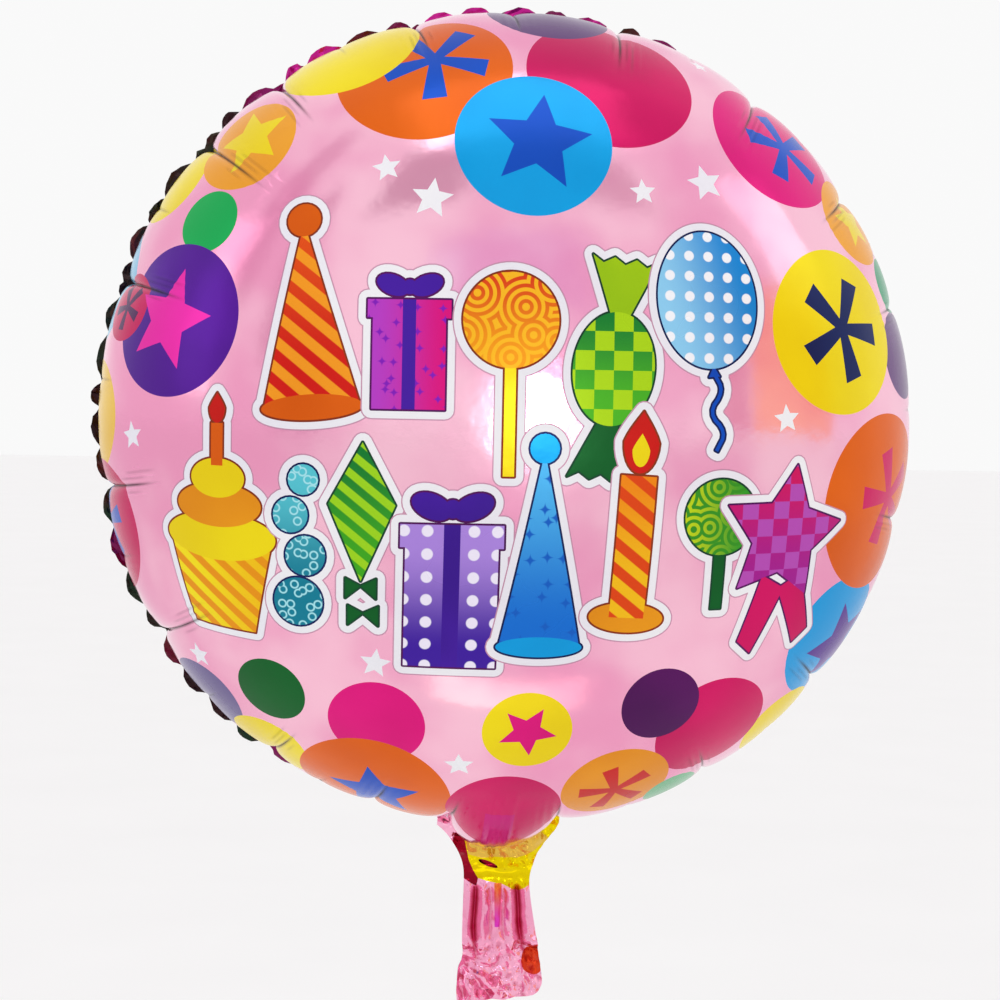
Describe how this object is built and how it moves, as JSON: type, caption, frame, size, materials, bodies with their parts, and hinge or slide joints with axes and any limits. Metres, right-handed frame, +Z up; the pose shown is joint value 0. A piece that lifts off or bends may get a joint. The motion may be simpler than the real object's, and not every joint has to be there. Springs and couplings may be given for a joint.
{
  "type": "foil balloon",
  "caption": "Round inflated foil party balloon with a dotted print, a crimped seam, a flat neck with a filling hole and self-sealing valve, and a folding tail.",
  "frame": {"origin": "middle of the neck's crease, where a ribbon is tied and the tail folds", "axes": "+Z up the balloon from the crease to the crown, printed front faces -Y, +X to the right seen from the front"},
  "size_m": [0.3506, 0.2044, 0.424],
  "materials": {
    "front_film": "printed metallised film, pearly pink",
    "back_film": "metallised film, pearly pink",
    "seam": "welded and crimped metallised film",
    "neck_film": "printed metallised film",
    "tail_film": "metallised film, pleated",
    "valve_film": "thin milky film"
  },
  "bodies": {
    "envelope": {"front_panel": "front_film", "back_panel": "back_film", "rim_seam": "seam", "neck_front_film": "neck_film", "neck_back_film": "back_film", "neck_side_welds": "seam", "valve_front_film": "valve_film", "valve_back_film": "valve_film", "valve_anchor_welds": "valve_film"},
    "tail": {"tail_front_film": "tail_film", "tail_back_film": "back_film", "tail_side_welds": "seam"}
  },
  "joints": [
    {"name": "tail_flap", "type": "hinge", "parent": "envelope", "child": "tail", "pos_m": [0, 0, 0], "axis": [1, 0, 0], "range_deg": [-110, 110]}
  ]
}
